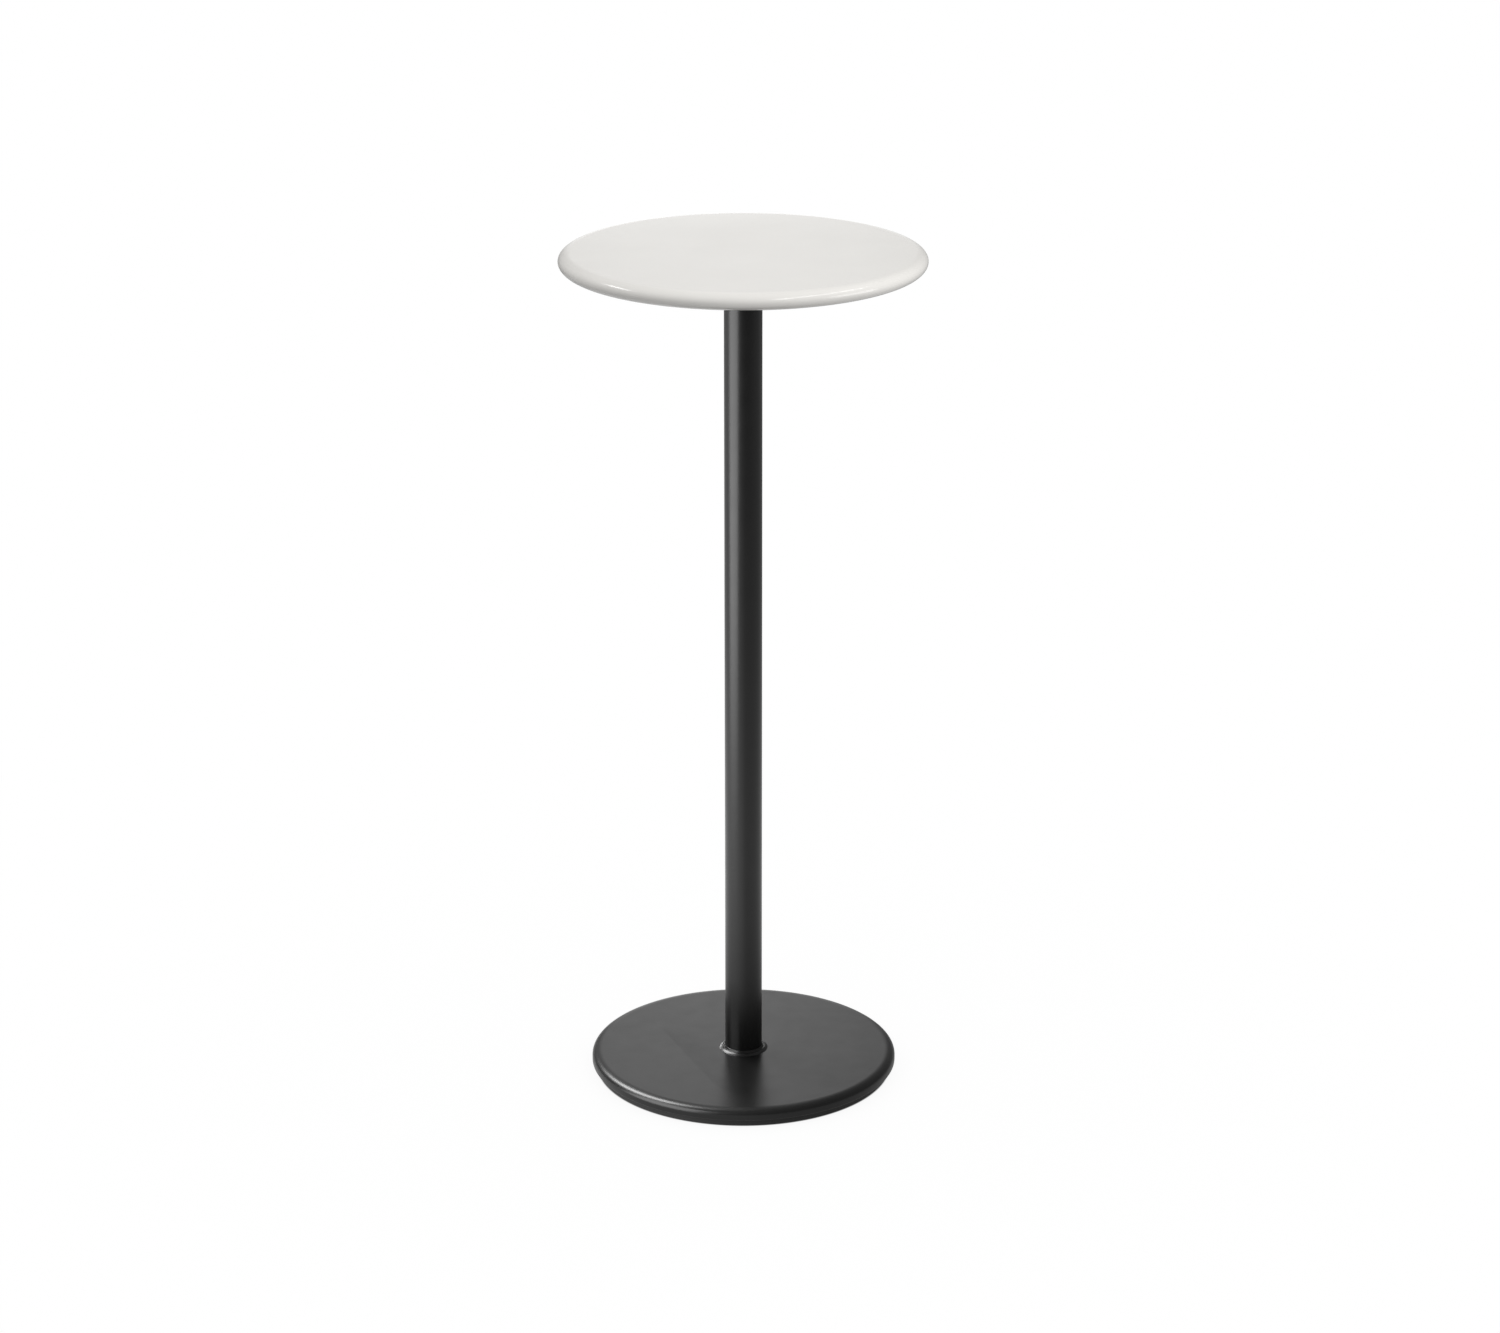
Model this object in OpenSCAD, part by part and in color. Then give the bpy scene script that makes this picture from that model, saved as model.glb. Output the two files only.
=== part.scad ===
// Round bar table: a white disc on a slim black column with a weighted round foot.
// Millimetres, +Z up. The origin is on the floor, under the middle of the column.

/* [Table] */
// Height of the table surface above the floor
table_h = 1100; // [900:10:1150]

/* [Tabletop] */
// Diameter of the tabletop
top_d = 460; // [400:10:700]
// Thickness of the tabletop
top_t = 22; // [19:1:30]
// Width of the rounded edge, seen from above
top_edge = 16; // [10:1:24]

/* [Mounting plate] */
// Diameter of the steel plate under the tabletop
plate_d = 200; // [185:5:240]
// Thickness of the mounting plate
plate_t = 6; // [4:1:8]
// Leg of the fillet weld between the plate and the column
weld_leg = 5; // [3:1:8]

/* [Tabletop screws] */
// Number of screws and of threaded inserts
screws = 4; // [3:1:8]
// Diameter of the circle that the screws stand on
screw_circle_d = 160; // [130:5:165]
// Nominal diameter of the screws
screw_d = 6; // [5:1:8]
// Length of the screws under the head
screw_len = 16; // [14:1:18]
// Length of the threaded inserts
insert_len = 12; // [10:1:14]

/* [Column] */
// Outer diameter of the column tube
tube_d = 48.3; // [42.4:0.1:60.3]
// Wall of the column tube
tube_wall = 2.6; // [2:0.1:4]

/* [Foot collar] */
// Width of the ring between the tube and its outer edge
collar_w = 7.6; // [6:0.2:12]
// Height of the ring above the base
collar_h = 5; // [4:0.5:8]

/* [Base cover] */
// Diameter of the base
cover_d = 400; // [360:10:500]
// Height of the base's top face above the floor
cover_h = 24; // [23:1:30]
// Thickness of the cover's sheet
cover_sheet = 2; // [1.5:0.5:3]
// Height of the cover's lower edge above the floor
skirt_z = 10; // [6:1:13]
// Width of the rounded edge, seen from above
cover_edge_w = 14; // [10:1:18]
// Drop of the rounded edge, seen from the side
cover_edge_h = 8.5; // [6:0.5:9]
// Fullness of the rounded edge: 2 is an ellipse, more fills its corner
cover_edge_full = 2.3; // [2:0.1:3]

/* [Ballast plate] */
// How far the ballast plate stands in from the cover's rim
rim_inset = 6; // [5:0.5:8]
// Gap under the ballast plate when the glides are screwed in
floor_gap = 1; // [0.5:0.5:3]
// Height of the web's upper face above the floor
web_z = 14; // [12:0.5:16]
// Diameter of the hub that carries the column
hub_d = 96; // [84:1:120]
// Width of the ribs between the hub and the glide bosses
rib_w = 12; // [8:1:18]

/* [Draw bolt] */
// Nominal diameter of the bolt that draws the column down
bolt_d = 10; // [8:1:12]
// Length of the bolt under its head
bolt_len = 45; // [40:5:60]
// Thickness of the hub between the bolt's washer and the column
hub_seat = 8; // [7:0.5:9]
// Height of the threaded plug in the foot of the tube
plug_h = 30; // [25:5:50]

/* [Glides] */
// How far the middle of each glide stands in from the cover's rim
glide_inset = 35; // [32:1:60]
// Diameter of a glide's pad
pad_d = 32; // [28:1:36]
// Height of a glide's pad
pad_h = 5; // [4.5:0.5:6]
// Nominal diameter of a glide's thread
glide_d = 8; // [6:1:10]
// Height of the hexagon that a glide is turned by
hex_h = 3.5; // [3:0.5:4]

/* [Hidden] */

// Segments of a full circle, and steps along a rounded edge
$fn = 96;
edge_steps = 10;

// Clearances
thread_fit = 0.05;    // radial, between a thread and its hole
press_gap = 0.05;     // radial, where a piece is pressed into another
hole_play = 0.5;      // radial, around a screw that only passes through
tube_play = 0.35;     // radial, between the tube and the hole in the cover
collar_fit = 0.1;     // radial, between the collar and the tube
turn_gap = 0.3;       // around a piece that turns in another
stop_gap = 0.2;       // between a glide's hexagon and its stop
finger_room = 6;      // around a pad, to turn its glide by hand

// Heights above the floor, from the top down
top_z = table_h - top_t;              // underside of the tabletop
plate_z = top_z - plate_t;            // underside of the mounting plate
washer_t = 1.6;
screw_seat = plate_z - washer_t;      // underside of a screw's washer
under_cover = cover_h - cover_sheet;  // underside of the cover, top of the hub
bolt_ceiling = under_cover - hub_seat;
draw_washer_t = 2;
lock_washer_t = 2.2;
bolt_seat = bolt_ceiling - draw_washer_t - lock_washer_t;

// Radii
top_r = top_d / 2;
tube_r = tube_d / 2;
bore_r = tube_r - tube_wall;
cover_r = cover_d / 2;
ballast_r = cover_r - rim_inset;
glide_r = cover_r - glide_inset;
thread_r = glide_d / 2;

// Tabletop screws and inserts
screw_reach = screw_len - washer_t - plate_t;
insert_wall = 2;
insert_r = screw_d / 2 + insert_wall;
insert_flange = 2;    // how far an insert's flange stands out
insert_flange_t = 1;
hole_spare = 1;
insert_hole = max(insert_len, screw_reach) + hole_spare;

// Draw bolt
socket_r = 1.3 * bolt_d;
hex_across = 1.6 * bolt_d;
head_h = 0.64 * bolt_d;
plug_lift = 1.5;      // the tube's end stands proud of its plug

// Ballast plate
boss_wall = 10;
boss_r = thread_r + boss_wall;
land_w = 12;          // width of the ring that carries the cover

// Glides: an upright stud whose flat foot is snapped into a pad
sole_t = 1.5;         // floor of the pad under the stud's foot
foot_r = thread_r + 3;
foot_t = 2;
neck_r = thread_r + 1;
hex_z = pad_h + turn_gap;
hex_top = hex_z + hex_h;
pocket_z = hex_top + stop_gap;
pocket_r = pad_d / 2 + finger_room;
glide_hex = 2.2 * glide_d;
stud_spare = 1.5;     // between the stud's tip and the cover
stud_top = under_cover - stud_spare;
pad_bevel = 1;

steel_black = [0.10, 0.10, 0.10];
iron_black = [0.05, 0.05, 0.05];
board_white = [0.90, 0.89, 0.87];
zinc = [0.72, 0.73, 0.75];
nylon = [0.13, 0.13, 0.13];
brass = [0.78, 0.62, 0.32];

// A number to a power, with its sign kept
function bend(v, power) = sign(v) * pow(abs(v), power);

// Points of an arc about [x, z], with half-widths a and b; full is 2 for an ellipse
function arc(x, z, a, b, from, to, steps = edge_steps, full = 2) =
    [for (i = [0:steps]) let (t = from + (to - from) * i / steps)
        [x + a * bend(cos(t), 2 / full), z + b * bend(sin(t), 2 / full)]];

// The width across the corners of a hexagon, from its width across flats
function corners(across) = across / cos(30);

// Copies on a circle, the first one at the angle start
module around(n, r, start = 45)
    for (i = [0:n - 1]) rotate([0, 0, start + i * 360 / n]) translate([r, 0, 0]) children();

// A ring or washer that stands on z
module ring(outer, inner, h, z = 0)
    translate([0, 0, z]) difference() {
        cylinder(r = outer, h = h);
        translate([0, 0, -1]) cylinder(r = inner, h = h + 2);
    }

// Tabletop: a painted disc with an elliptical edge, with blind holes for the inserts
module tabletop() color(board_white) {
    half = top_t / 2;
    middle = top_z + half;
    rim = arc(top_r - top_edge, middle, top_edge, half, -90, 90, 2 * edge_steps);
    difference() {
        rotate_extrude() polygon(concat([[0, top_z]], rim, [[0, table_h]]));
        around(screws, screw_circle_d / 2) translate([0, 0, top_z - 1]) {
            cylinder(r = insert_r + press_gap, h = insert_hole + 1);
            cylinder(r = insert_r + insert_flange + press_gap, h = insert_flange_t + 1);
        }
    }
}

// Threaded inserts: flanged sleeves, flush with the tabletop's underside
module tabletop_inserts() color(brass)
    around(screws, screw_circle_d / 2) {
        hole_r = screw_d / 2 + thread_fit;
        ring(insert_r, hole_r, insert_len - insert_flange_t, top_z + insert_flange_t);
        ring(insert_r + insert_flange, hole_r, insert_flange_t, top_z);
    }

// Pan-head screws with a hexagon socket, up through the plate into the inserts
module top_screws() color(zinc) {
    pan_r = 0.9 * screw_d;
    pan_h = 0.6 * screw_d;
    key = 0.65 * screw_d;
    key_depth = 0.35 * screw_d;
    around(screws, screw_circle_d / 2) difference() {
        union() {
            translate([0, 0, screw_seat]) cylinder(r = screw_d / 2, h = screw_len);
            rotate_extrude() polygon(concat([[0, screw_seat]],
                arc(0, screw_seat, pan_r, pan_h, 0, -90)));
        }
        translate([0, 0, screw_seat - pan_h - 1])
            cylinder(d = corners(key), h = key_depth + 1, $fn = 6);
    }
}

// Flat washers between the screw heads and the mounting plate
module screw_washers() color(zinc)
    around(screws, screw_circle_d / 2) ring(1.07 * screw_d, screw_d / 2 + hole_play / 2, washer_t, screw_seat);

// Mounting plate: the steel disc at the head of the column
module mounting_plate() color(steel_black) {
    ease = 1;
    r = plate_d / 2;
    difference() {
        rotate_extrude() polygon([[0, plate_z], [r - ease, plate_z], [r, plate_z + ease], [r, top_z], [0, top_z]]);
        around(screws, screw_circle_d / 2) translate([0, 0, plate_z - 1])
            cylinder(r = screw_d / 2 + hole_play, h = plate_t + 2);
    }
}

// Head weld: the fillet that joins the tube to the mounting plate
module head_weld() color(steel_black)
    rotate_extrude() polygon([[tube_r, plate_z], [tube_r, plate_z - weld_leg],
        [tube_r + weld_leg * 0.4, plate_z - weld_leg * 0.6], [tube_r + weld_leg, plate_z]]);

// Column: one straight tube from the ballast plate's hub to the mounting plate
module column_tube() color(steel_black)
    ring(tube_r, bore_r, plate_z - under_cover, under_cover);

// Foot plug: a threaded plug pressed and welded into the foot of the tube
module foot_plug() color(zinc)
    ring(bore_r - press_gap, bolt_d / 2 + thread_fit, plug_h, under_cover + plug_lift);

// Foot collar: a ring with a flared outer slope, a groove and a narrow round lip at the tube
module foot_collar() color(steel_black) {
    inner = tube_r + collar_fit;
    outer = tube_r + collar_w;
    flare_w = collar_w * 0.49;
    flare_h = collar_h * 0.5;
    lip = 0.6;
    groove = 0.5;
    rotate_extrude() polygon(concat([[inner, cover_h]],
        arc(outer - flare_w, cover_h, flare_w, flare_h, 0, 112, 12, 1.15),
        arc(inner + 3.8 * lip, cover_h + collar_h * 0.56, groove, groove, -90, -165, 4),
        arc(inner + lip, cover_h + collar_h - lip, lip, lip, 0, 180, 8)));
}

// Base cover: a pressed disc with a rounded edge and a short upright skirt
module base_cover() color(steel_black) {
    hole = tube_r + tube_play;
    edge_x = cover_r - cover_edge_w;
    edge_z = cover_h - cover_edge_h;
    lower = cover_sheet / 2;
    rotate_extrude() polygon(concat([[hole, cover_h]],
        arc(edge_x, edge_z, cover_edge_w, cover_edge_h, 90, 0, 12, cover_edge_full),
        arc(cover_r - lower, skirt_z + lower, lower, lower, 0, -180, 6),
        arc(edge_x, edge_z, cover_edge_w - cover_sheet, cover_edge_h - cover_sheet, 0, 90, 12, cover_edge_full),
        [[hole, under_cover]]));
}

// Ballast plate: an iron casting with a hub, ribs, a land for the cover and four glide bosses
module ballast_plate() color(iron_black) {
    ease = 0.5;
    rise = under_cover - web_z;
    difference() {
        union() {
            rotate_extrude() polygon([[0, floor_gap], [ballast_r - ease, floor_gap],
                [ballast_r, floor_gap + ease], [ballast_r, web_z], [0, web_z]]);
            translate([0, 0, web_z - 1]) cylinder(d = hub_d, h = rise + 1);
            ring(glide_r + land_w / 2, glide_r - land_w / 2, rise + 1, web_z - 1);
            around(4, glide_r) translate([0, 0, web_z - 1]) cylinder(r = boss_r, h = rise + 1);
            around(4, 0) translate([hub_d / 4, -rib_w / 2, web_z - 1])
                cube([glide_r - hub_d / 4, rib_w, rise + 1]);
        }
        around(4, glide_r) {
            translate([0, 0, floor_gap - 1]) cylinder(r = pocket_r, h = pocket_z - floor_gap + 1);
            cylinder(r = thread_r + thread_fit, h = cover_h);
        }
        translate([0, 0, floor_gap - 1]) cylinder(r = socket_r, h = bolt_ceiling - floor_gap + 1);
        cylinder(r = bolt_d / 2 + hole_play, h = cover_h);
    }
}

// Draw bolt: a hexagon bolt from under the ballast plate into the foot plug
module draw_bolt() color(zinc) {
    translate([0, 0, bolt_seat - head_h]) cylinder(d = corners(hex_across), h = head_h, $fn = 6);
    translate([0, 0, bolt_seat]) cylinder(r = bolt_d / 2, h = bolt_len);
}

// Lock washer: a split spring washer over the bolt's head
module lock_washer() color(zinc) {
    slit = 1.2;
    difference() {
        ring(0.86 * bolt_d, bolt_d / 2 + hole_play / 2, lock_washer_t, bolt_seat);
        translate([0, -slit / 2, bolt_seat - 1]) cube([bolt_d, slit, lock_washer_t + 2]);
    }
}

// Draw washer: the flat washer against the hub
module draw_washer() color(zinc)
    ring(1.1 * bolt_d, bolt_d / 2 + hole_play / 2, draw_washer_t, bolt_ceiling - draw_washer_t);

// Where glide k stands
module at_glide(k) rotate([0, 0, 45 + (k - 1) * 90]) translate([glide_r, 0, 0]) children();

// Glide pad: a moulded disc that stands on the floor and holds the stud's foot
module glide_pad(k) color(nylon) {
    r = pad_d / 2;
    socket = foot_r + turn_gap;
    mouth = neck_r + turn_gap;
    roof = sole_t + foot_t + turn_gap;
    at_glide(k) rotate_extrude() polygon([[0, 0], [r - pad_bevel, 0], [r, pad_bevel],
        [r, pad_h - 2 * pad_bevel], [r - 2 * pad_bevel, pad_h], [mouth, pad_h], [mouth, roof],
        [socket, roof], [socket, sole_t], [0, sole_t]]);
}

// Glide stud: foot, neck, hexagon and thread in one piece
module glide_stud(k) color(zinc) {
    tip = 1;
    at_glide(k) {
        translate([0, 0, sole_t]) cylinder(r = foot_r, h = foot_t);
        translate([0, 0, sole_t]) cylinder(r = neck_r, h = hex_z - sole_t + 1);
        translate([0, 0, hex_z]) cylinder(d = corners(glide_hex), h = hex_h, $fn = 6);
        translate([0, 0, hex_z]) cylinder(r = thread_r, h = stud_top - tip - hex_z);
        translate([0, 0, stud_top - tip]) cylinder(r1 = thread_r, r2 = thread_r - tip, h = tip);
    }
}

tabletop();
tabletop_inserts();
top_screws();
screw_washers();
mounting_plate();
head_weld();
column_tube();
foot_plug();
foot_collar();
base_cover();
ballast_plate();
draw_bolt();
lock_washer();
draw_washer();
glide_pad(1);  // glide_pad_1
glide_pad(2);  // glide_pad_2
glide_pad(3);  // glide_pad_3
glide_pad(4);  // glide_pad_4
glide_stud(1);  // glide_stud_1
glide_stud(2);  // glide_stud_2
glide_stud(3);  // glide_stud_3
glide_stud(4);  // glide_stud_4
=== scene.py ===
# %% [markdown]
# A round bar table, dressed for its photograph
#
# The table is a white disc on a slim black column that stands on a flat, weighted black foot. It is already
# solid and to size: it comes in as a fixed frame of named parts in metres. These cells give the visible parts
# their fine surfaces, paint every part, and build the studio around them.

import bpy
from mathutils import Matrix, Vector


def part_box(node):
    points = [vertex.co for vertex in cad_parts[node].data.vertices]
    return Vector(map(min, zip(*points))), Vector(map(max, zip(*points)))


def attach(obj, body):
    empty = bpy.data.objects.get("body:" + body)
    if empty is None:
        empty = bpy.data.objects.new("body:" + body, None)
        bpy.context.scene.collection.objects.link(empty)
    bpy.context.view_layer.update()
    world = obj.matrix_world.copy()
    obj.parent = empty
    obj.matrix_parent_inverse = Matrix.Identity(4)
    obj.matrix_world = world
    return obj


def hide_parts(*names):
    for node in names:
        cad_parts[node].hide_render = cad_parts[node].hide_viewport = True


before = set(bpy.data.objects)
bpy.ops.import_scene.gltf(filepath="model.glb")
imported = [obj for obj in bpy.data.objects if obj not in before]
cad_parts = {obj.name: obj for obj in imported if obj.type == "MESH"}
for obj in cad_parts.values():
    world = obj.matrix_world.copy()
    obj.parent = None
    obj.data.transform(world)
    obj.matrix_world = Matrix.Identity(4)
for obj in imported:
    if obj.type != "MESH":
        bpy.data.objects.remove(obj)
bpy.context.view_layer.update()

# %% [markdown]
# Measures and colours
#
# A workshop drawing is in millimetres and a paint chart gives hex colours, but Blender counts in metres and
# shades in linear light. Two tiny helpers do both conversions, so the rest of the lesson can be read like a
# drawing. The alternative is to convert by hand, and then nobody can check a number against the real thing.

# %% Conversions
import math

import bmesh
import bpy
from mathutils import Vector

MM = 0.001


def linear(hex_colour):
    """An sRGB hex colour as linear RGBA, by the two-part curve of the sRGB standard."""
    channels = [int(hex_colour[i:i + 2], 16) / 255 for i in (0, 2, 4)]
    return [c / 12.92 if c <= 0.04045 else ((c + 0.055) / 1.055) ** 2.4 for c in channels] + [1.0]


def per_metre(size_mm):
    """The texture scale at which one grain is about size_mm across."""
    return 1 / (size_mm * MM)


print("a 2 mm grain is scale", per_metre(2), "and mid grey is", round(linear("808080")[0], 3))

# %% [markdown]
# Sizes that come from the frame
#
# Nothing is typed twice: each radius and height is read from the box round the part it belongs to. If the
# table's makers change a size, the fine surfaces follow. Only what a box cannot tell, such as how far a
# rounding reaches in, is given here as a real size. The frame draws a round part with flat facets, so its box
# is a hair short on some sides. The shortest side is read, so that no skin stands out of the frame. Only the
# cover, which the tabletop overhangs, has its full size.

# %% Read the sizes
def radius_of(node, pick=min):
    """The radius of a round part on the column's axis, on its shortest side, or with max at its full size."""
    low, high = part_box(node)
    return pick(high.x, high.y, -low.x, -low.y)


def heights_of(node):
    """The lowest and highest z of a part."""
    low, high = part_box(node)
    return low.z, high.z


top_r = radius_of("tabletop")
top_low, top_high = heights_of("tabletop")
column_r = radius_of("column_tube")
column_low, column_high = heights_of("column_tube")
collar_r = radius_of("foot_collar")
collar_low, collar_high = heights_of("foot_collar")
cover_r = radius_of("base_cover", max)
cover_low, cover_high = heights_of("base_cover")
print("top radius %.4f, column radius %.5f, collar radius %.5f, base radius %.4f"
      % (top_r, column_r, collar_r, cover_r))

# %% [markdown]
# Turning round parts
#
# Every visible part of this table was made round: the top was routed, the collar turned and the cover
# pressed. In Blender a cylinder with a bevel would do, but a bevel reaches as far in as it reaches down, and
# these edges are flatter. So each part is turned on a small lathe of our own: an outline of (radius, height)
# pairs swept about the column's axis. The outline is closed, so the mesh is a true solid skin.

# %% Draw an outline
def arc(centre, size, start, end, steps, square=2.0):
    """Points of an arc about centre (r, z), with half-widths size, between two angles in degrees.

    A square of 2 is an ellipse. More than 2 fills its corners, and less flattens them.
    """
    points = []
    for i in range(steps + 1):
        angle = math.radians(start + (end - start) * i / steps)
        cosine, sine = math.cos(angle), math.sin(angle)
        points.append((centre[0] + size[0] * math.copysign(abs(cosine) ** (2 / square), cosine),
                       centre[1] + size[1] * math.copysign(abs(sine) ** (2 / square), sine)))
    return points


# %% The lathe
SHARP = math.radians(35)                         # an edge that turns more than this stays crisp
WIDE_TURNS, SLIM_TURNS = 256, 160                # faces round the wide discs, and round the column and collar


def in_scene(name, data):
    """A new object that holds data, linked into the scene."""
    thing = bpy.data.objects.new(name, data)
    bpy.context.scene.collection.objects.link(thing)
    return thing


def as_object(name, bm):
    """Turns a bmesh into a shaded object in the scene."""
    bmesh.ops.recalc_face_normals(bm, faces=bm.faces)
    mesh = bpy.data.meshes.new(name)
    bm.to_mesh(mesh)
    bm.free()
    mesh.shade_smooth()
    mesh.set_sharp_from_angle(angle=SHARP)
    return in_scene(name, mesh)


def lathe(name, outline, turns):
    """Sweeps a closed outline of (radius, height) pairs about the Z axis."""
    bm = bmesh.new()
    circle = [(math.cos(math.tau * k / turns), math.sin(math.tau * k / turns)) for k in range(turns)]
    rings = []
    for r, z in outline:
        if r == 0:
            rings.append([bm.verts.new((0, 0, z))] * turns)
        else:
            rings.append([bm.verts.new((r * x, r * y, z)) for x, y in circle])
    pairs = list(zip(rings, rings[1:]))
    if outline[0][0] > 0:
        pairs.append((rings[-1], rings[0]))
    for one, other in pairs:
        for k in range(turns):
            after = (k + 1) % turns
            corners = (one[k], one[after], other[after], other[k])
            bm.faces.new(list(dict.fromkeys(corners)))       # on the axis, two of the corners are one point
    piece = as_object(name, bm)
    print(name, len(piece.data.polygons), "faces")
    return piece


# %% [markdown]
# Standing in for a solid
#
# A fine skin takes the place of one solid of the frame. The frame then hides that solid, and keeps it for
# whatever touches the table. The skin wears one of the finishes made below. It rides with the
# pedestal, which is the whole table but for the four levelling glides.

# %% The stand-in
def stands_for(piece, node, material):
    """The piece replaces one CAD part of the pedestal and wears a material."""
    piece.data.materials.append(material)
    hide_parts(node)
    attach(piece, "pedestal")
    print(piece.name, "stands for", node)


# %% [markdown]
# A node helper for materials
#
# Every finish below is a handful of shader nodes. One small function adds a node, sets its values and links
# its inputs, and each material then reads as a list of what it is made of. A value that is the same all over
# sits on the shader's own socket; only what really varies over the surface gets a node.

# %% The node helper
def add(tree, kind, settings=None, **inputs):
    """Adds a node. settings are its properties; inputs are values, or sockets to link from.

    An input goes by its name, with _ for a space, or by its number after a _.
    """
    node = tree.nodes.new(kind)
    for name, value in (settings or {}).items():
        setattr(node, name, value)
    for name, value in inputs.items():
        socket = node.inputs[int(name[1:]) if name[0] == "_" else name.replace("_", " ")]
        if isinstance(value, bpy.types.NodeSocket):
            tree.links.new(value, socket)
        else:
            socket.default_value = value
    return node


def new_material(name):
    """An empty node material, with its tree and its output node."""
    material = bpy.data.materials.new(name)
    material.use_nodes = True
    tree = material.node_tree
    tree.nodes.clear()
    return material, tree, tree.nodes.new("ShaderNodeOutputMaterial")


# %% [markdown]
# What all the finishes share
#
# No real surface is one flat colour. Paint, plating and plastic all drift a little in tone and in gloss, over
# patches of a few millimetres or centimetres, and all have a fine relief. So one recipe serves the whole
# table, and each finish fills in its own colours and gloss, and the real sizes of its patches and grain.

# %% Relief, drift and surface
NOISE_LOW, NOISE_HIGH = 0.3, 0.7                 # the noise seldom leaves this span


def relief(tree, where, grain_mm, depth_mm):
    """A bump of soft lumps, grain_mm across and depth_mm high."""
    lumps = add(tree, "ShaderNodeTexNoise", Vector=where, Scale=per_metre(grain_mm), Detail=2.0)
    bump = add(tree, "ShaderNodeBump", Strength=1.0, Distance=depth_mm * MM, Height=lumps.outputs["Fac"])
    return bump.outputs["Normal"]


def spread(tree, where, size_mm, low, high):
    """A value that drifts between low and high over patches of size_mm."""
    patches = add(tree, "ShaderNodeTexNoise", Vector=where, Scale=per_metre(size_mm), Detail=3.0)
    span = add(tree, "ShaderNodeMapRange", Value=patches.outputs["Fac"], From_Min=NOISE_LOW,
               From_Max=NOISE_HIGH, To_Min=low, To_Max=high)
    return span.outputs["Result"]


def surface(name, dark, light, tone_mm, rough, gloss_mm, grain_mm, depth_mm, **optics):
    """A finish with a drifting tone and gloss over a grain. optics are the shader's own IOR or Metallic."""
    material, tree, out = new_material(name)
    where = add(tree, "ShaderNodeTexCoord").outputs["Object"]
    tone = spread(tree, where, tone_mm, 0.0, 1.0)
    colour = add(tree, "ShaderNodeMix", {"data_type": "RGBA"}, Factor=tone, _6=linear(dark), _7=linear(light))
    shader = add(tree, "ShaderNodeBsdfPrincipled", Base_Color=colour.outputs[2],
                 Roughness=spread(tree, where, gloss_mm, *rough),
                 Normal=relief(tree, where, grain_mm, depth_mm), **optics)
    tree.links.new(shader.outputs[0], out.inputs[0])
    print("made", name)
    return material


# %% [markdown]
# The tabletop's finish: white lacquer on board
#
# The top is fibreboard, sprayed with a two-part lacquer and rubbed to a satin. Lacquer is a clear film over
# its own pigment: one dielectric shader with an IOR of 1.5 does both. What gives it away as sprayed is a very
# faint orange peel, about 3 mm from crest to crest, and a gloss that drifts a little where it was polished.

# %% White lacquer
white = surface("white_satin_lacquer", "E3E1DD", "E5E3DF", tone_mm=90, rough=(0.16, 0.19), gloss_mm=40,
                grain_mm=3.0, depth_mm=0.001, IOR=1.5)

# %% [markdown]
# The pedestal's finish: black powder coat
#
# Column, collar and cover are steel, dusted with black polyester powder and baked until it flows together.
# The film is thick, so edges are soft and the surface keeps a fine pebble of about 1.5 mm, here drawn at 2 mm
# so that it survives the picture's pixels. The black is almost colourless, so nearly all that the eye sees is
# the room's reflection: strong where the surface is seen edge-on, weak where it is seen square.

# %% Black powder coat
black = surface("black_satin_powder_coat", "0C0C0C", "0E0E0E", tone_mm=60, rough=(0.30, 0.34), gloss_mm=25,
                grain_mm=2.0, depth_mm=0.003, IOR=1.5)

# %% [markdown]
# The hidden finishes
#
# From below the table shows its working side. The ballast is cast in sand, whose lumps stay visible under
# brushed black paint. Zinc plating is bright and faintly clouded. Turned brass is warm and a little uneven in
# its gloss, and moulded nylon is dull and even. Each starts from the textbook values of its material, and its
# grain and patches have their real scale.

# %% Iron, zinc, brass and nylon
iron = surface("black_painted_cast_iron", "141414", "1A1A1A", tone_mm=15, rough=(0.45, 0.60), gloss_mm=15,
               grain_mm=1.2, depth_mm=0.08)
zinc = surface("bright_zinc_plating", "B9BDC2", "D2D5D8", tone_mm=4, rough=(0.22, 0.36), gloss_mm=4,
               grain_mm=0.6, depth_mm=0.004, Metallic=1.0)
brass = surface("turned_brass", "B8924C", "CBA55C", tone_mm=3, rough=(0.25, 0.38), gloss_mm=3,
                grain_mm=0.5, depth_mm=0.004, Metallic=1.0)
nylon = surface("black_moulded_nylon", "161616", "1C1C1C", tone_mm=6, rough=(0.42, 0.52), gloss_mm=6,
                grain_mm=0.8, depth_mm=0.01)

# %% [markdown]
# The tabletop
#
# A router ran round the board and left an edge that is 22 mm high but reaches 16 mm in: half an ellipse, not
# half a circle. The flat between is kept dead flat, because the whole top mirrors the lamps.

# %% Turn the tabletop
TOP_EDGE = 16 * MM
flat_r = top_r - TOP_EDGE
midway = flat_r / 2                              # a ring of points half way in keeps the flat's faces short
half_t = (top_high - top_low) / 2
outline = [(0, top_low), (midway, top_low)]
outline += arc((flat_r, top_low + half_t), (TOP_EDGE, half_t), start=-90, end=90, steps=48)
outline += [(midway, top_high), (0, top_high)]
stands_for(lathe("tabletop_board", outline, WIDE_TURNS), "tabletop", white)

# %% [markdown]
# The column
#
# One length of welded steel tube, drawn to size and linished before coating. A tube is the one thing that a
# plain sweep already gets right, so it is turned like the rest, with its wall and both cut ends.

# %% Turn the column
WALL = 2.6 * MM
column_bore = column_r - WALL
outline = [(column_bore, column_low), (column_r, column_low)]
outline += [(column_r, column_high), (column_bore, column_high)]
stands_for(lathe("column_skin", outline, SLIM_TURNS), "column_tube", black)

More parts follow.
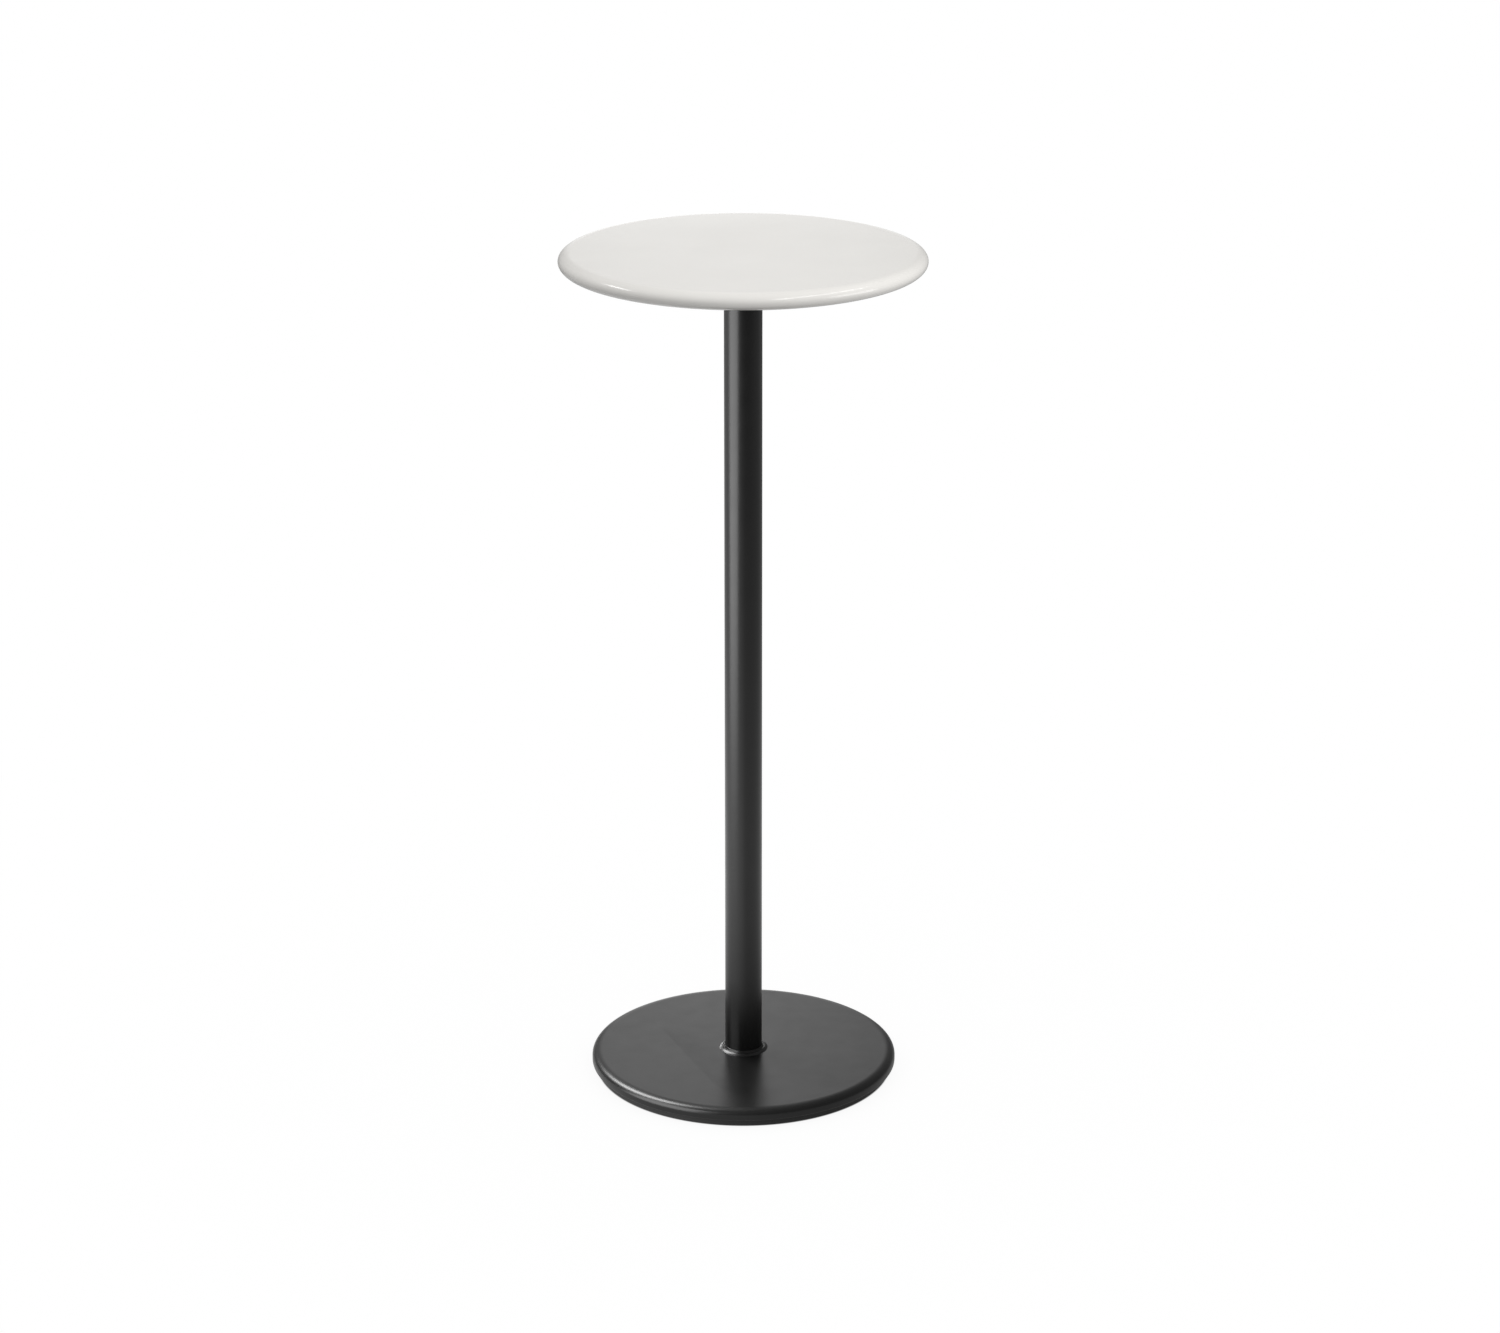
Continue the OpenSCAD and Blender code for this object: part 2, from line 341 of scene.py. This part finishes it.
# %% [markdown]
# The foot collar
#
# A small turned ring hides the hole in the cover. Outside it flares down to the cover in one slope; inside it
# steps up to a narrow lip that hugs the tube. Slope and lip each catch a bright line, with the dark groove
# between them.

# %% Turn the collar
COLLAR_PLAY = 0.1 * MM                           # between the tube and the collar
LIP = 0.6 * MM                                   # half the lip's width, and the height of its round top
FLARE = (3.72 * MM, 2.5 * MM)                    # from the slope's crest out to its foot, and down to it
CONE = 1.15                                      # 1 would be a straight cone, 2 a round shoulder
PAST_CREST = 112                                 # degrees from the slope's foot; its crest is at 90
GROOVE_IN, GROOVE_UP = 2.28 * MM, 2.8 * MM       # the groove's middle, from the bore and from the cover
GROOVE_R = 0.5 * MM

collar_bore = column_r + COLLAR_PLAY
groove = (collar_bore + GROOVE_IN, collar_low + GROOVE_UP)
outline = [(collar_bore, collar_low)]
outline += arc((collar_r - FLARE[0], collar_low), FLARE, start=0, end=PAST_CREST, steps=24, square=CONE)
outline += arc(groove, (GROOVE_R, GROOVE_R), start=-90, end=-165, steps=6)
outline += arc((collar_bore + LIP, collar_high - LIP), (LIP, LIP), start=0, end=180, steps=12)
stands_for(lathe("foot_collar_ring", outline, SLIM_TURNS), "foot_collar", black)

# %% [markdown]
# The base cover
#
# The cover is one disc of 2 mm sheet, pressed so that its rim slopes off gently, turns over a tighter corner
# and drops to a short upright skirt. An ellipse turns too evenly for that, so the outline's powers are raised
# a little above the ellipse's squares. The skirt stops 10 mm above the floor. Its cut edge is rounded by
# deburring and by the coat, and catches a thin line of light.

# %% Turn the base cover
SHEET = 2.0 * MM
EDGE = SHEET / 2                                 # the cut edge is one full round
ROLL_IN, ROLL_DOWN = 14 * MM, 8.5 * MM           # how far in and down the rim turns over
SQUARE = 2.3                                     # 2 would be an ellipse
COVER_PLAY = 0.35 * MM                           # between the tube and the cover

cover_bore = column_r + COVER_PLAY
roll = (cover_r - ROLL_IN, cover_high - ROLL_DOWN)
outline = [(cover_bore, cover_high)]
outline += arc(roll, (ROLL_IN, ROLL_DOWN), start=90, end=0, steps=48, square=SQUARE)
outline += arc((cover_r - EDGE, cover_low + EDGE), (EDGE, EDGE), start=0, end=-180, steps=12)
outline += arc(roll, (ROLL_IN - SHEET, ROLL_DOWN - SHEET), start=0, end=90, steps=24, square=SQUARE)
outline += [(cover_bore, cover_high - SHEET)]
stands_for(lathe("base_cover_pressing", outline, WIDE_TURNS), "base_cover", black)

# %% [markdown]
# The weld under the plate
#
# The tube is welded to the plate by hand, and a hand weld is a row of overlapping puddles. Each puddle is a
# low hump along the fillet, so the bead is built as a ring whose section swells and shrinks, about 3 mm from
# one ripple to the next.

# %% Lay the weld bead
WELD_LEG = 5 * MM                                # along the tube and along the plate, at a puddle's crest
NECK = 0.90                                      # the leg between two puddles, as a share of that
RIPPLE = 3.0 * MM
SUNK_NECK, SUNK_CREST = 0.345, 0.24              # the face sinks in by this share; 0 would be a quarter round
WELD_TURNS, WELD_ACROSS = 480, 6                 # sections round the tube, and faces across the bead's face
plate_low = heights_of("mounting_plate")[0]


def weld_bead(name):
    """A fillet between the tube and the plate above it, with hand-laid ripples."""
    ripples = round(math.tau * column_r / RIPPLE)
    bm = bmesh.new()
    rings = []
    for k in range(WELD_TURNS):
        around = math.tau * k / WELD_TURNS
        crest = abs(math.sin(around * ripples / 2))          # 0 between two puddles, 1 on top of one
        leg = WELD_LEG * (NECK + (1 - NECK) * crest)
        sunk = SUNK_NECK + (SUNK_CREST - SUNK_NECK) * crest
        section = [(column_r, plate_low)]
        for j in range(WELD_ACROSS + 1):
            tilt = math.pi / 2 * j / WELD_ACROSS
            reach = leg * (1 - sunk * math.sin(2 * tilt))
            section.append((column_r + reach * math.sin(tilt), plate_low - reach * math.cos(tilt)))
        rings.append([bm.verts.new((r * math.cos(around), r * math.sin(around), z)) for r, z in section])
    for one, other in zip(rings, rings[1:] + rings[:1]):
        for j in range(len(one)):
            after = (j + 1) % len(one)
            bm.faces.new((one[j], other[j], other[after], one[after]))
    print(name, ripples, "ripples")
    return as_object(name, bm)


stands_for(weld_bead("head_weld_bead"), "head_weld", black)

# %% [markdown]
# Paint what stays
#
# The other parts have the right shape already: plate, plug, screws, washers, inserts, ballast, bolt and
# glides. They keep their mesh and only change their material.

# %% Paint the carried-over parts
finishes = {"mounting_plate": black, "ballast_plate": iron, "tabletop_inserts": brass}
for node in ("top_screws", "screw_washers", "foot_plug", "draw_bolt", "lock_washer", "draw_washer"):
    finishes[node] = zinc
for k in (1, 2, 3, 4):
    finishes[f"glide_pad_{k}"] = nylon
    finishes[f"glide_stud_{k}"] = zinc
for node, material in finishes.items():
    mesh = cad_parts[node].data
    mesh.materials.clear()
    mesh.materials.append(material)
print("painted", len(finishes), "carried-over parts")

# %% [markdown]
# The studio floor and the white surround
#
# The table stands on white paper in a white room. Lighting a floor until it burns out would wash out the
# table too. Instead the Light Path node tells three kinds of ray apart. The camera sees plain white, with a
# faint shadow where the paper is part real. A reflection sees the lit strip of a backdrop behind the table, a
# lit floor and a dim room, as in a real studio. And the surround lights the table evenly, at a plain level.

# %% Which ray is it
def by_ray(tree, lighting, reflected, seen):
    """Chooses a shader: for light that falls on things, for what they mirror, and for the camera."""
    path = add(tree, "ShaderNodeLightPath")
    mirrored = add(tree, "ShaderNodeMath", {"operation": "MAXIMUM"}, _0=path.outputs["Is Glossy Ray"],
                   _1=path.outputs["Is Transmission Ray"])
    inner = add(tree, "ShaderNodeMixShader", _0=mirrored.outputs[0], _1=lighting, _2=reflected)
    outer = add(tree, "ShaderNodeMixShader", _0=path.outputs["Is Camera Ray"], _1=inner.outputs[0], _2=seen)
    return outer.outputs[0]


def graded(tree, *fades):
    """A tone made of several fades multiplied. Each is (value, start, end, before, after), eased between."""
    tone = 1.0
    for value, start, end, before, after in fades:
        fade = add(tree, "ShaderNodeMapRange", {"interpolation_type": "SMOOTHSTEP"}, Value=value,
                   From_Min=start, From_Max=end, To_Min=before, To_Max=after)
        tone = add(tree, "ShaderNodeMath", {"operation": "MULTIPLY"}, _0=tone, _1=fade.outputs[0]).outputs[0]
    return tone


# %% The surround
AMBIENT = 0.81                                   # the level of light that falls on the table
ROOM = 0.22                                      # the level of the room that it mirrors
PURE_WHITE = 1.0                                 # the level that the camera sees

world = bpy.data.worlds.new("white_surround")
bpy.context.scene.world = world
world.use_nodes = True
tree = world.node_tree
tree.nodes.clear()
levels = [add(tree, "ShaderNodeBackground", Strength=level, Color=(1, 1, 1, 1)).outputs[0]
          for level in (AMBIENT, ROOM, PURE_WHITE)]
tree.links.new(by_ray(tree, *levels), add(tree, "ShaderNodeOutputWorld").inputs[0])
print("surround ready, ambient level", AMBIENT)

# %% [markdown]
# The paper
#
# In a reflection the floor has light and shade of its own, as the floor of a real studio does. Four fades
# give it that, each with its start and end in metres, and then its tone before and after. A fifth, written
# the same way, grades the light that the paper gives back.

# %% The floor's tones
PAPER_REAL = 0.10                                # how much of the paper is real, near the table
PAPER_GLOW = PURE_WHITE - PAPER_REAL * AMBIENT   # and how much it glows there, to come out white
SHADOW_FADE = (0.6, 1.6)                         # metres from the table, where the real part fades out
BALLAST_R = radius_of("ballast_plate")
UNDER_FOOT = (BALLAST_R - 2 * MM, BALLAST_R + 1 * MM)        # no light gets in there, so the paper is black
NEAR_CAMERA = (-3.71, -2.18, 0.08, 1.0)          # dark towards the camera
CLOSE_TO_FOOT = (0.20, 0.62, 0.53, 1.0)          # shaded close to the foot
FAR_OFF = (0.60, 2.25, 1.0, 0.44)                # dimmer away from the lamps
LAMPS_SIDE = (-0.15, 0.15, 1.34, 0.81)           # brighter on the lamps' side
BOUNCE = (-0.5, 0.5, 0.15, 0.53)                 # light given back, more on the tabletop's fill light's side
print("the paper is %.0f percent real and glows at %.3f" % (100 * PAPER_REAL, PAPER_GLOW))


# %% Lay the floor
def paper():
    """White paper that shows a faint shadow, mirrors as a lit floor, and bounces some light."""
    material, tree, out = new_material("white_studio_paper")
    place = add(tree, "ShaderNodeNewGeometry").outputs["Position"]
    axes = add(tree, "ShaderNodeSeparateXYZ", _0=place).outputs
    far = add(tree, "ShaderNodeVectorMath", {"operation": "LENGTH"}, _0=place).outputs["Value"]
    glow = graded(tree, (far, *SHADOW_FADE, PAPER_GLOW, PURE_WHITE), (far, *UNDER_FOOT, 0.0, 1.0))
    glowing = add(tree, "ShaderNodeEmission", Strength=glow)
    real = graded(tree, (far, *SHADOW_FADE, PAPER_REAL, 0.0))
    shaded = add(tree, "ShaderNodeBsdfDiffuse", Color=real)
    seen = add(tree, "ShaderNodeAddShader", _0=glowing.outputs[0], _1=shaded.outputs[0])
    tone = graded(tree, (axes["Y"], *NEAR_CAMERA), (far, *CLOSE_TO_FOOT), (far, *FAR_OFF),
                  (axes["X"], *LAMPS_SIDE))
    mirrored = add(tree, "ShaderNodeEmission", Strength=tone)
    bounced = graded(tree, (axes["X"], *BOUNCE))
    lighting = add(tree, "ShaderNodeBsdfDiffuse", Color=bounced)
    tree.links.new(by_ray(tree, lighting.outputs[0], mirrored.outputs[0], seen.outputs[0]), out.inputs[0])
    material.cycles.emission_sampling = "NONE"
    return material


def card(name, corners, material, unseen_by=()):
    """A flat card through four corners. Some kinds of ray may pass through it."""
    mesh = bpy.data.meshes.new(name)
    mesh.from_pydata(corners, [], [(0, 1, 2, 3)])
    mesh.materials.append(material)
    sheet = in_scene(name, mesh)
    for ray in unseen_by:
        setattr(sheet, "visible_" + ray, False)
    print(name, "is %.2f m wide" % (Vector(corners[1]) - Vector(corners[0])).length)


PAPER_SIDE = 12                                  # metres from the table to each edge of the paper
corners = [(-PAPER_SIDE, -PAPER_SIDE, 0), (PAPER_SIDE, -PAPER_SIDE, 0),
           (PAPER_SIDE, PAPER_SIDE, 0), (-PAPER_SIDE, PAPER_SIDE, 0)]
card("studio_floor", corners, paper())

# %% [markdown]
# The backdrop that is mirrored
#
# Behind the table hangs a cloth with a lit strip, brighter on the lamps' side. The camera looks past it at
# plain white, and only the gloss of the table sees it: it greys the foot's flat top and the column's edges.
# Its fades are written as the floor's are.

# %% Hang the backdrop
STRIP_LEFT = (-0.95, -0.10, 0.0, 1.0)
STRIP_RIGHT = (0.10, 0.85, 1.0, 0.0)
STRIP_LOW = (1.20, 1.42, 0.88, 1.0)
STRIP_HIGH = (1.48, 1.72, 1.0, 0.3)
LIT_LEFT, LIT_RIGHT = 1.86, 0.88                 # the strip's tones a metre to the left and to the right
BACK, CLOTH_SIDE, CLOTH_HIGH = 2.96, 6, 5        # metres behind the table, to each side, and up


def cloth():
    """A lit strip in the middle, which fades sideways and upwards to the level of the room."""
    material, tree, out = new_material("backdrop_cloth")
    place = add(tree, "ShaderNodeNewGeometry").outputs["Position"]
    axes = add(tree, "ShaderNodeSeparateXYZ", _0=place).outputs
    strip = graded(tree, (axes["X"], *STRIP_LEFT), (axes["X"], *STRIP_RIGHT),
                   (axes["Z"], *STRIP_LOW), (axes["Z"], *STRIP_HIGH))
    lit = add(tree, "ShaderNodeMapRange", Value=axes["X"], From_Min=-1.0, From_Max=1.0,
              To_Min=LIT_LEFT, To_Max=LIT_RIGHT)
    tone = add(tree, "ShaderNodeMix", Factor=strip, A=ROOM, B=lit.outputs[0])
    glow = add(tree, "ShaderNodeEmission", Strength=tone.outputs[0])
    tree.links.new(glow.outputs[0], out.inputs[0])
    material.cycles.emission_sampling = "NONE"
    return material


corners = [(-CLOTH_SIDE, BACK, 0), (CLOTH_SIDE, BACK, 0),
           (CLOTH_SIDE, BACK, CLOTH_HIGH), (-CLOTH_SIDE, BACK, CLOTH_HIGH)]
card("studio_backdrop", corners, cloth(), unseen_by=("camera", "diffuse", "shadow"))

# %% [markdown]
# The flag at the foot
#
# Just above the foot the column mirrors black steel, and its pale stripe fades out. A flag helps: a small
# card of black felt, close to the column, that keeps the tall box at the left front off its lowest part.
# Neither the camera nor the gloss sees the card, which only throws its shade.

# %% Set the flag
FLAG_TURN = math.radians(68)                     # round from the front towards the left
FLAG_OUT, FLAG_W = 80 * MM, 200 * MM             # out from the column's axis, and across
FLAG_LOW, FLAG_HIGH = cover_high + 2 * MM, 120 * MM


def felt():
    """Black felt, which gives back no light."""
    material, tree, out = new_material("black_flag_felt")
    shader = add(tree, "ShaderNodeBsdfDiffuse", Color=(0, 0, 0, 1))
    tree.links.new(shader.outputs[0], out.inputs[0])
    return material


out_x, out_y = -math.sin(FLAG_TURN), -math.cos(FLAG_TURN)
near, far = [(out_x * FLAG_OUT - out_y * side, out_y * FLAG_OUT + out_x * side)
             for side in (-FLAG_W / 2, FLAG_W / 2)]
corners = [(*near, FLAG_LOW), (*far, FLAG_LOW), (*far, FLAG_HIGH), (*near, FLAG_HIGH)]
card("studio_flag", corners, felt(), unseen_by=("camera", "diffuse", "glossy", "transmission"))

# %% [markdown]
# The lamps
#
# Soft boxes draw the highlights, and each is linked to the part it draws, the way a photographer flags a lamp
# off everything else. A tall box at the left front puts the pale stripe on the column and the grey sheen on
# the foot's left rim. One behind on the left lights the crest of that rim, and a low one behind it draws the
# bright line round the collar's left end. The tabletop has lamps of its own: three strip lights for the long
# streaks on its rounded edge, and a soft fill on the right.

# %% What each lamp lights
def group_of(name, pieces):
    """A collection for light linking; it isn't shown in the scene by itself."""
    group = bpy.data.collections.new(name)
    for piece in pieces:
        group.objects.link(piece)
    print(name, "holds", len(pieces), "meshes")
    return group


meshes = [thing for thing in bpy.context.scene.objects if thing.type == "MESH"]
table = [piece for piece in meshes if not piece.name.startswith("studio")]
board = bpy.data.objects["tabletop_board"]
lit_top = group_of("lit_top", [board])
lit_pedestal = group_of("lit_pedestal", [piece for piece in table if piece != board])
lit_collar = group_of("lit_collar", [bpy.data.objects["foot_collar_ring"]])


# %% Hang the lamps
def softbox(name, place, aim, across, high, radiance, lit):
    """A rectangular lamp at place that faces aim and lights only the pieces in lit."""
    lamp = bpy.data.lights.new(name, "AREA")
    lamp.shape = "RECTANGLE"
    lamp.size, lamp.size_y = across, high
    lamp.energy = radiance * math.pi * across * high
    holder = in_scene(name, lamp)
    holder.location = place
    holder.rotation_euler = (Vector(aim) - Vector(place)).to_track_quat("-Z", "Y").to_euler()
    holder.visible_camera = False
    holder.light_linking.receiver_collection = lit
    print(name, round(lamp.energy, 1), "W")


COLLAR, FOOT, COLUMN, TOP = [(0, 0, z) for z in (0.03, 0.1, 0.5, 1.09)]      # where the lamps aim

# name, place and aim in metres, width and height in metres, radiance, what it lights
softbox("softbox_left_front", (-1.09, -0.61, 0.76), COLUMN, 1.43, 1.56, 4.3, lit_pedestal)
softbox("softbox_left_back", (-0.90, 0.72, 1.43), FOOT, 0.71, 1.05, 15.2, lit_pedestal)
softbox("softbox_collar", (-0.85, 1.25, 0.25), COLLAR, 1.30, 0.30, 4.8, lit_collar)
softbox("striplight_top_right", (0.75, -0.36, 2.20), TOP, 1.30, 0.08, 10, lit_top)
softbox("striplight_top_front", (0.50, -0.95, 2.16), TOP, 0.20, 0.10, 20, lit_top)
softbox("striplight_top_left", (-1.10, 0.10, 2.00), TOP, 0.45, 0.10, 16, lit_top)
softbox("softbox_top_fill", (2.10, -0.80, 1.50), TOP, 1.25, 0.96, 3.0, lit_top)

# %% [markdown]
# The camera
#
# The lens and the height were worked out from the ellipses of the top and the foot: a long lens, about 5 m
# away and a little over 2 m up, looking down by some 19 degrees.

# %% Camera
PICTURE_W = 1500                                 # the photograph's width in pixels
FOCAL_PX = 4094                                  # the focal length in the same pixels
SENSOR_W = 36                                    # and the sensor's width in millimetres
PITCH_DOWN = 18.867                              # degrees below level
STAND = (8.5 * MM, -4967 * MM, 2253.3 * MM)      # from the point where the column's axis meets the floor

lens = bpy.data.cameras.new("camera")
lens.sensor_width = SENSOR_W
lens.lens = FOCAL_PX / PICTURE_W * SENSOR_W
camera = in_scene("camera", lens)
camera.location = STAND
camera.rotation_euler = (math.radians(90 - PITCH_DOWN), 0, 0)
bpy.context.scene.camera = camera
bpy.context.scene.view_settings.view_transform = "Standard"
print("lens %.1f mm" % lens.lens)
